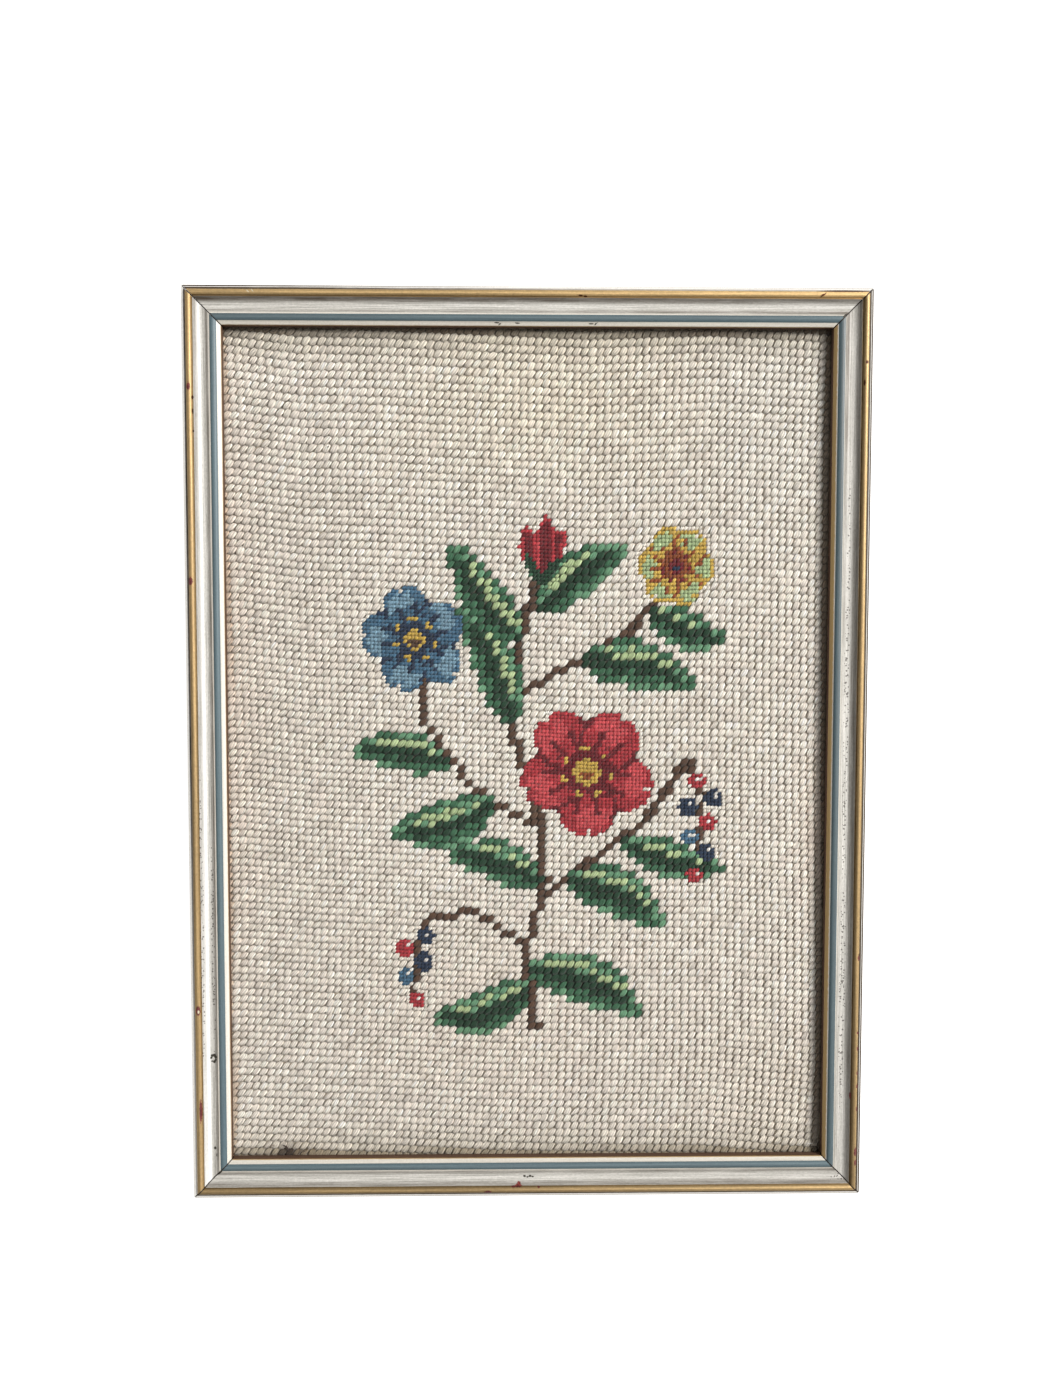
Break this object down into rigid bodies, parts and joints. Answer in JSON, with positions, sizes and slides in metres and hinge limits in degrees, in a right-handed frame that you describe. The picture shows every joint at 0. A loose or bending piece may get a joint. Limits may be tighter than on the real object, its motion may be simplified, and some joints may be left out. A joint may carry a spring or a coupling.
{
  "type": "framed needlepoint in its wooden picture frame",
  "caption": "Rectangular needlepoint panel of wool on canvas, held under the lip of a narrow mitred wooden moulding and closed behind by a plain board.",
  "frame": {"origin": "middle of the back, on the plane that the back of the frame rests on", "axes": "+Z out of the face, +Y to the top of the picture, +X to the right as it is seen from the front"},
  "size_m": [0.2284, 0.3072, 0.0141],
  "materials": {
    "needlework": "matt cream wool tent stitch with a coloured flower spray",
    "moulding": "worn silver-white paint with a gilt bead and a slate-blue line",
    "board": "matt brown board"
  },
  "bodies": {
    "root": {"needlepoint": "needlework", "rail_top": "moulding", "rail_bottom": "moulding", "rail_left": "moulding", "rail_right": "moulding", "backing_board": "board"}
  },
  "joints": []
}
